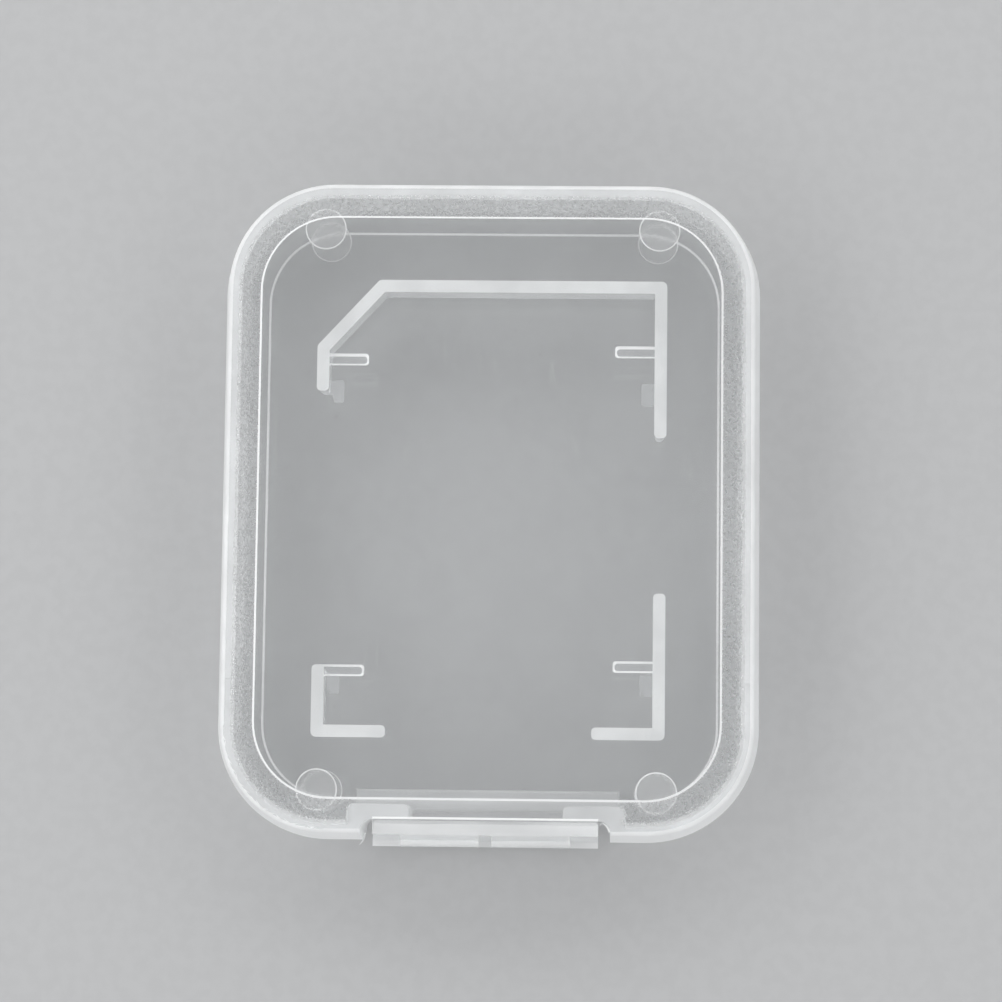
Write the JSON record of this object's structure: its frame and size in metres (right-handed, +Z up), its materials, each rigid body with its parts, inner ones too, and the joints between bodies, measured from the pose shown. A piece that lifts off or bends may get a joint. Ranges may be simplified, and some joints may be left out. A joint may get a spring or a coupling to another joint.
{
  "type": "memory card case",
  "caption": "Clear hinged case for a memory card: a holder half with ribs, rails and nibs round the card, a plain cover half, and a stiff spine on film hinges between them.",
  "frame": {"origin": "middle of the cover's window face, which lies on the table", "axes": "+X along the hinge, +Y from the hinge to the front edge, +Z up from the cover to the holder"},
  "size_m": [0.0404, 0.0501, 0.0075],
  "materials": {
    "clear_shell": "natural polypropylene, polished windows and finely grained rim",
    "milky_rib": "natural polypropylene, milky where it is seen along the rib",
    "milky_spine": "natural polypropylene, milky in the thick bar"
  },
  "bodies": {
    "cover": {"cover_shell": "clear_shell", "closing_lip": "clear_shell", "snap_bumps": "clear_shell", "thumb_lip": "clear_shell"},
    "spine": {"hinge_spine": "milky_spine", "film_lower_left": "milky_spine", "film_lower_right": "milky_spine", "film_upper_left": "milky_spine", "film_upper_right": "milky_spine"},
    "holder": {"holder_shell": "clear_shell", "card_frame_front": "milky_rib", "card_frame_left": "milky_rib", "card_frame_right": "milky_rib", "card_rail_front_left": "milky_rib", "card_rail_front_right": "milky_rib", "card_rail_rear_left": "milky_rib", "card_rail_rear_right": "milky_rib", "card_nib_front_left": "milky_rib", "card_nib_front_right": "milky_rib", "card_nib_rear_left": "milky_rib", "card_nib_rear_right": "milky_rib"}
  },
  "joints": [
    {"name": "cover_hinge", "type": "hinge", "parent": "cover", "child": "spine", "pos_m": [0, -0.025, 0.0002], "axis": [1, 0, 0], "range_deg": [0, 90]},
    {"name": "holder_hinge", "type": "hinge", "parent": "spine", "child": "holder", "pos_m": [0, -0.025, 0.0073], "axis": [1, 0, 0], "range_deg": [0, 90]}
  ]
}
